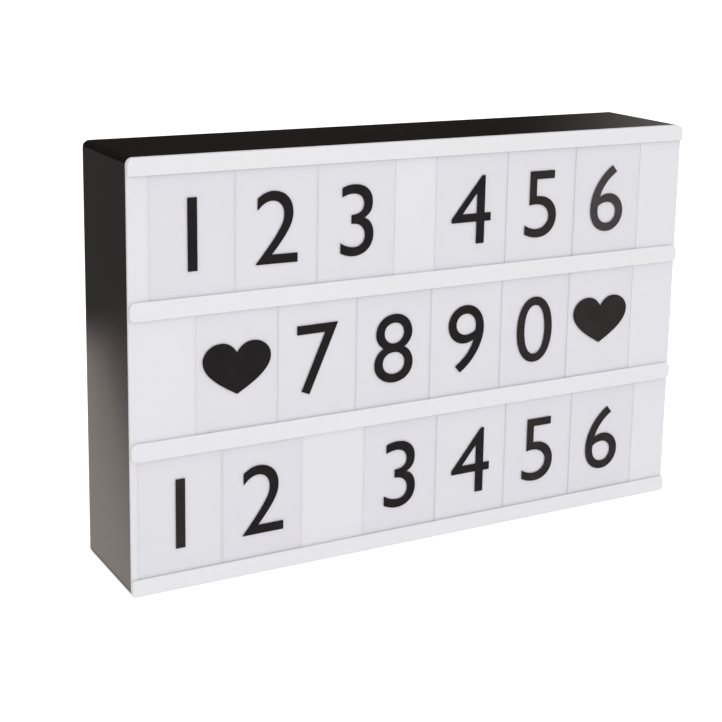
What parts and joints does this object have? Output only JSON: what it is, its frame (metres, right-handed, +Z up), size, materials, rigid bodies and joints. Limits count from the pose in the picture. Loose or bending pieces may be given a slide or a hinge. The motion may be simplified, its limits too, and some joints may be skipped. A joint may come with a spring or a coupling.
{
  "type": "cinema light box",
  "caption": "Black box with a white front, three rows of sliding film tiles with black figures held by white rails, a battery bay, a switch and a power socket at the back.",
  "frame": {"origin": "middle of the base, half way through the depth, on the surface the box stands on", "axes": "+Z up, the white front faces -Y, +X to the right when looking at the front"},
  "size_m": [0.3, 0.06, 0.198],
  "materials": {
    "black_case": "satin, fine moulded grain",
    "black_cover": "satin, fine moulded grain",
    "black_inner": "satin",
    "black_knob": "satin",
    "opal_panel": "opal white, semi-gloss",
    "white_rail": "opaque white, semi-gloss",
    "film_tile": "clear film, glossy, black printed figure",
    "white_sheet": "matt white",
    "white_board": "satin white mask",
    "led_yellow": "glossy",
    "black_chip": "matt",
    "cell_jacket": "printed jacket, glossy",
    "nickel_contact": "nickel plated",
    "steel_shell": "plain",
    "steel_screw": "blackened",
    "green_board": "satin solder mask",
    "red_wire": "satin",
    "black_wire": "satin",
    "white_wire": "satin"
  },
  "bodies": {
    "light_box": {"housing_frame": "black_case", "back_cover": "black_cover", "front_panel": "opal_panel", "top_rail": "white_rail", "upper_rail": "white_rail", "lower_rail": "white_rail", "bottom_rail": "white_rail", "reflector_sheet": "white_sheet", "led_strip_lower": "white_board", "led_strip_middle": "white_board", "led_strip_upper": "white_board", "led_chips": "led_yellow", "strip_resistors": "black_chip", "battery_box": "black_inner", "battery_cells": "cell_jacket", "contact_springs": "nickel_contact", "contact_plates": "nickel_contact", "control_board": "green_board", "power_inlet": "steel_shell", "switch_body": "steel_shell", "cover_screws": "steel_screw", "box_screws": "steel_screw", "board_screws": "steel_screw", "battery_wire_red": "red_wire", "battery_wire_black": "black_wire", "strip_wires": "white_wire"},
    "battery_door": {"battery_door": "black_cover"},
    "switch_slider": {"switch_slider": "black_knob"},
    "tile_1_1": {"tile_1_1": "film_tile"},
    "tile_1_2": {"tile_1_2": "film_tile"},
    "tile_1_3": {"tile_1_3": "film_tile"},
    "tile_1_4": {"tile_1_4": "film_tile"},
    "tile_1_5": {"tile_1_5": "film_tile"},
    "tile_1_6": {"tile_1_6": "film_tile"},
    "tile_2_1": {"tile_2_1": "film_tile"},
    "tile_2_2": {"tile_2_2": "film_tile"},
    "tile_2_3": {"tile_2_3": "film_tile"},
    "tile_2_4": {"tile_2_4": "film_tile"},
    "tile_2_5": {"tile_2_5": "film_tile"},
    "tile_2_6": {"tile_2_6": "film_tile"},
    "tile_3_1": {"tile_3_1": "film_tile"},
    "tile_3_2": {"tile_3_2": "film_tile"},
    "tile_3_3": {"tile_3_3": "film_tile"},
    "tile_3_4": {"tile_3_4": "film_tile"},
    "tile_3_5": {"tile_3_5": "film_tile"},
    "tile_3_6": {"tile_3_6": "film_tile"}
  },
  "joints": [
    {"name": "tile_1_1_slide", "type": "slide", "parent": "light_box", "child": "tile_1_1", "axis": [1, 0, 0], "range_m": [-0.009, 0.0109]},
    {"name": "tile_1_2_slide", "type": "slide", "parent": "light_box", "child": "tile_1_2", "axis": [1, 0, 0], "range_m": [-0.009, 0.0109]},
    {"name": "tile_1_3_slide", "type": "slide", "parent": "light_box", "child": "tile_1_3", "axis": [1, 0, 0], "range_m": [-0.009, 0.0109]},
    {"name": "tile_1_4_slide", "type": "slide", "parent": "light_box", "child": "tile_1_4", "axis": [1, 0, 0], "range_m": [-0.0109, 0.0258]},
    {"name": "tile_1_5_slide", "type": "slide", "parent": "light_box", "child": "tile_1_5", "axis": [1, 0, 0], "range_m": [-0.0109, 0.0258]},
    {"name": "tile_1_6_slide", "type": "slide", "parent": "light_box", "child": "tile_1_6", "axis": [1, 0, 0], "range_m": [-0.0109, 0.0258]},
    {"name": "tile_2_1_slide", "type": "slide", "parent": "light_box", "child": "tile_2_1", "axis": [1, 0, 0], "range_m": [-0.0304, 0.0268]},
    {"name": "tile_2_2_slide", "type": "slide", "parent": "light_box", "child": "tile_2_2", "axis": [1, 0, 0], "range_m": [-0.0304, 0.0268]},
    {"name": "tile_2_3_slide", "type": "slide", "parent": "light_box", "child": "tile_2_3", "axis": [1, 0, 0], "range_m": [-0.0304, 0.0268]},
    {"name": "tile_2_4_slide", "type": "slide", "parent": "light_box", "child": "tile_2_4", "axis": [1, 0, 0], "range_m": [-0.0304, 0.0268]},
    {"name": "tile_2_5_slide", "type": "slide", "parent": "light_box", "child": "tile_2_5", "axis": [1, 0, 0], "range_m": [-0.0304, 0.0268]},
    {"name": "tile_2_6_slide", "type": "slide", "parent": "light_box", "child": "tile_2_6", "axis": [1, 0, 0], "range_m": [-0.0304, 0.0268]},
    {"name": "tile_3_1_slide", "type": "slide", "parent": "light_box", "child": "tile_3_1", "axis": [1, 0, 0], "range_m": [-0.003, 0.0162]},
    {"name": "tile_3_2_slide", "type": "slide", "parent": "light_box", "child": "tile_3_2", "axis": [1, 0, 0], "range_m": [-0.003, 0.0162]},
    {"name": "tile_3_3_slide", "type": "slide", "parent": "light_box", "child": "tile_3_3", "axis": [1, 0, 0], "range_m": [-0.0162, 0.0218]},
    {"name": "tile_3_4_slide", "type": "slide", "parent": "light_box", "child": "tile_3_4", "axis": [1, 0, 0], "range_m": [-0.0162, 0.0218]},
    {"name": "tile_3_5_slide", "type": "slide", "parent": "light_box", "child": "tile_3_5", "axis": [1, 0, 0], "range_m": [-0.0162, 0.0218]},
    {"name": "tile_3_6_slide", "type": "slide", "parent": "light_box", "child": "tile_3_6", "axis": [1, 0, 0], "range_m": [-0.0162, 0.0218]},
    {"name": "battery_door_hinge", "type": "hinge", "parent": "light_box", "child": "battery_door", "pos_m": [0, 0.03, 0.06435], "axis": [-1, 0, 0], "range_deg": [0, 80]},
    {"name": "switch_slide", "type": "slide", "parent": "light_box", "child": "switch_slider", "axis": [1, 0, 0], "range_m": [0, 0.004]}
  ],
  "couplings": [
    {"joint": "tile_1_2_slide", "follows": "tile_1_1_slide", "ratio": 1},
    {"joint": "tile_1_3_slide", "follows": "tile_1_1_slide", "ratio": 1},
    {"joint": "tile_1_5_slide", "follows": "tile_1_4_slide", "ratio": 1},
    {"joint": "tile_1_6_slide", "follows": "tile_1_4_slide", "ratio": 1},
    {"joint": "tile_2_2_slide", "follows": "tile_2_1_slide", "ratio": 1},
    {"joint": "tile_2_3_slide", "follows": "tile_2_1_slide", "ratio": 1},
    {"joint": "tile_2_4_slide", "follows": "tile_2_1_slide", "ratio": 1},
    {"joint": "tile_2_5_slide", "follows": "tile_2_1_slide", "ratio": 1},
    {"joint": "tile_2_6_slide", "follows": "tile_2_1_slide", "ratio": 1},
    {"joint": "tile_3_2_slide", "follows": "tile_3_1_slide", "ratio": 1},
    {"joint": "tile_3_4_slide", "follows": "tile_3_3_slide", "ratio": 1},
    {"joint": "tile_3_5_slide", "follows": "tile_3_3_slide", "ratio": 1},
    {"joint": "tile_3_6_slide", "follows": "tile_3_3_slide", "ratio": 1}
  ]
}
